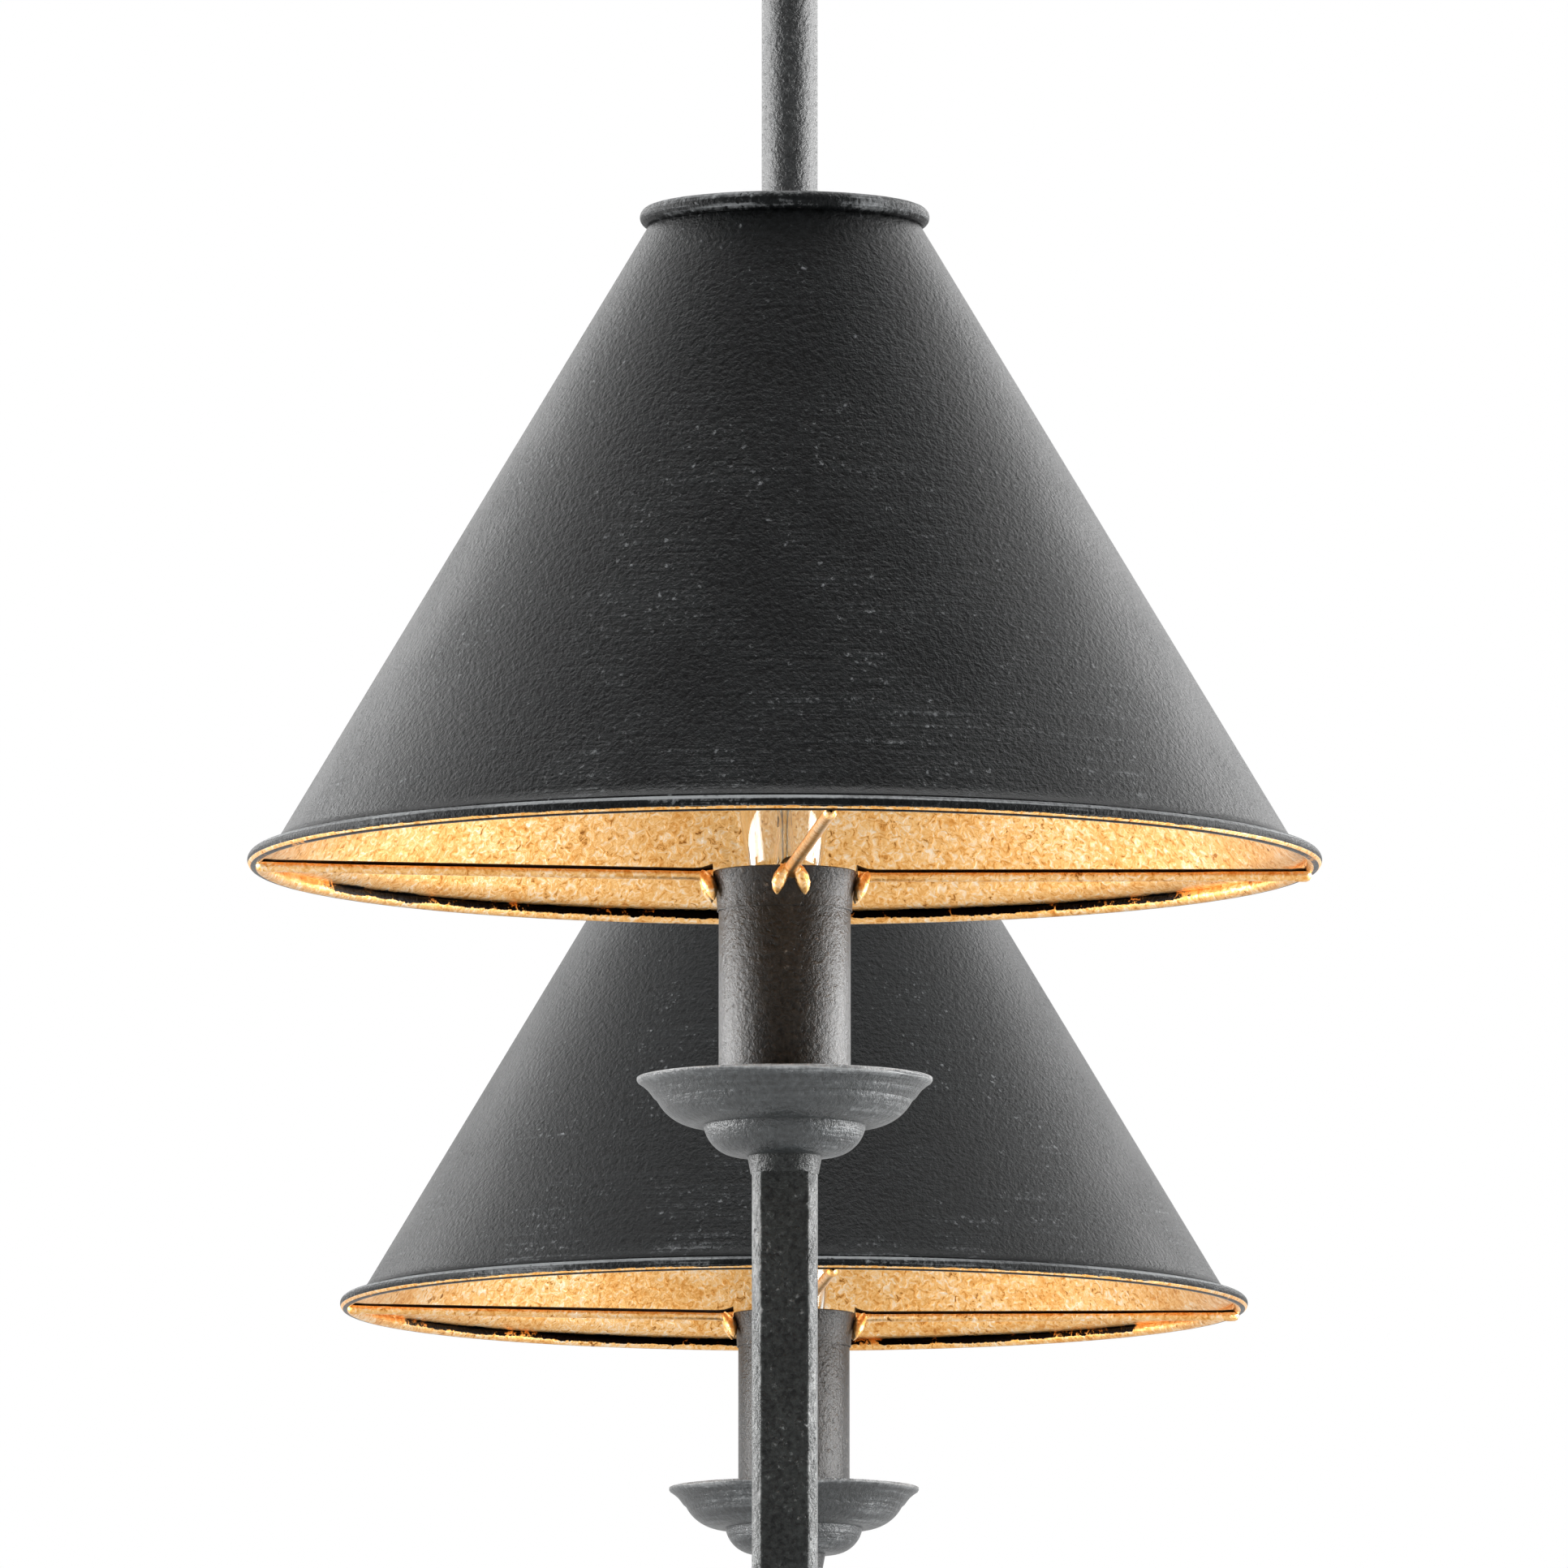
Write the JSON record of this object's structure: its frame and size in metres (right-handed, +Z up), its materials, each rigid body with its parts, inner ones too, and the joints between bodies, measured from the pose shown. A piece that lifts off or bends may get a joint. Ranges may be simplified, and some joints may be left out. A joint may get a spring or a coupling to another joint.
{
  "type": "linear chandelier",
  "caption": "Linear chandelier with cone-shaded candle lamps on a bent square-bar frame, hung by a stem and a swivel from a round ceiling canopy; blackened iron, gold-leafed inside.",
  "frame": {"origin": "centre of the ceiling strap's two slots, on its upper face, in the plane of the ceiling and of the canopy's rim", "axes": "+X along the row of lamps, +Z up into the ceiling, +Y across the fixture"},
  "size_m": [1.222, 0.222, 0.957],
  "materials": {
    "blackened_iron": "hand-brushed near-black iron patina, satin",
    "gold_leaf": "gold leaf, soft and mottled",
    "aged_brass": "satin",
    "zinc_steel": "zinc plated",
    "ground_green": "green passivated",
    "connector_plastic": "moulded",
    "wire_insulation": "extruded",
    "socket_phenolic": "moulded",
    "bulb_clear_glass": "clear, polished",
    "filament_wire": "drawn wire"
  },
  "bodies": {
    "ceiling_mount": {"crossbar": "zinc_steel", "swivel_stud": "zinc_steel", "stud_locknut": "zinc_steel", "canopy": "blackened_iron", "canopy_studs": "zinc_steel", "canopy_cap_nuts": "blackened_iron", "ground_screw": "ground_green"},
    "swivel": {"swivel_yoke": "blackened_iron", "swivel_screws": "aged_brass"},
    "pendant": {"swivel_barrel": "blackened_iron", "upper_rod": "blackened_iron", "rod_coupling": "blackened_iron", "lower_rod": "blackened_iron", "stem_ring": "blackened_iron", "hub_body": "blackened_iron", "hub_pipe": "zinc_steel", "hub_locknut": "zinc_steel", "hub_cover": "blackened_iron", "finial": "blackened_iron", "wire_connectors": "connector_plastic", "arm_set_screws": "zinc_steel", "stem_wire": "wire_insulation", "arm_left": "blackened_iron", "arm_right": "blackened_iron", "arm_wire_left": "wire_insulation", "arm_wire_right": "wire_insulation", "arm_collar_left": "blackened_iron", "arm_collar_right": "blackened_iron", "lamp_pipe_left": "zinc_steel", "lamp_pipe_right": "zinc_steel", "cup_left": "blackened_iron", "cup_right": "blackened_iron", "cup_locknuts": "zinc_steel", "socket_bracket_left": "zinc_steel", "socket_bracket_right": "zinc_steel", "socket_body_left": "socket_phenolic", "socket_body_right": "socket_phenolic", "socket_shell_left": "aged_brass", "socket_shell_right": "aged_brass", "socket_contacts": "aged_brass", "sleeve_left": "blackened_iron", "sleeve_right": "blackened_iron"},
    "shade_left": {"shade_left": "blackened_iron", "shade_carrier_left": "blackened_iron", "carrier_wires_left": "gold_leaf"},
    "thumbscrew_left": {"thumbscrew_left": "aged_brass"},
    "bulb_left": {"bulb_glass_left": "bulb_clear_glass", "bulb_base_left": "aged_brass", "bulb_filament_left": "filament_wire"},
    "shade_right": {"shade_right": "blackened_iron", "shade_carrier_right": "blackened_iron", "carrier_wires_right": "gold_leaf"},
    "thumbscrew_right": {"thumbscrew_right": "aged_brass"},
    "bulb_right": {"bulb_glass_right": "bulb_clear_glass", "bulb_base_right": "aged_brass", "bulb_filament_right": "filament_wire"}
  },
  "joints": [
    {"name": "swivel_turn", "type": "hinge", "parent": "ceiling_mount", "child": "swivel", "pos_m": [0, 0, -0.034], "axis": [0, 0, 1], "range_deg": [-170, 170]},
    {"name": "swivel_tilt", "type": "hinge", "parent": "swivel", "child": "pendant", "pos_m": [0, 0, -0.05795], "axis": [1, 0, 0], "range_deg": [-35, 35]},
    {"name": "shade_lift_left", "type": "slide", "parent": "pendant", "child": "shade_left", "axis": [0, 0, 1], "range_m": [0, 0.1]},
    {"name": "shade_lift_right", "type": "slide", "parent": "pendant", "child": "shade_right", "axis": [0, 0, 1], "range_m": [0, 0.1]},
    {"name": "thumbscrew_turn_left", "type": "hinge", "parent": "shade_left", "child": "thumbscrew_left", "pos_m": [-0.48518, -0.00235, -0.662], "axis": [0.9877, -0.1564, 0], "range_deg": [0, 630]},
    {"name": "thumbscrew_turn_right", "type": "hinge", "parent": "shade_right", "child": "thumbscrew_right", "pos_m": [0.48518, 0.00235, -0.662], "axis": [-0.9877, 0.1564, 0], "range_deg": [0, 630]},
    {"name": "bulb_turn_left", "type": "hinge", "parent": "pendant", "child": "bulb_left", "pos_m": [-0.5, 0, -0.667], "axis": [0, 0, 1], "range_deg": [0, 900]},
    {"name": "bulb_turn_right", "type": "hinge", "parent": "pendant", "child": "bulb_right", "pos_m": [0.5, 0, -0.667], "axis": [0, 0, 1], "range_deg": [0, 900]}
  ]
}
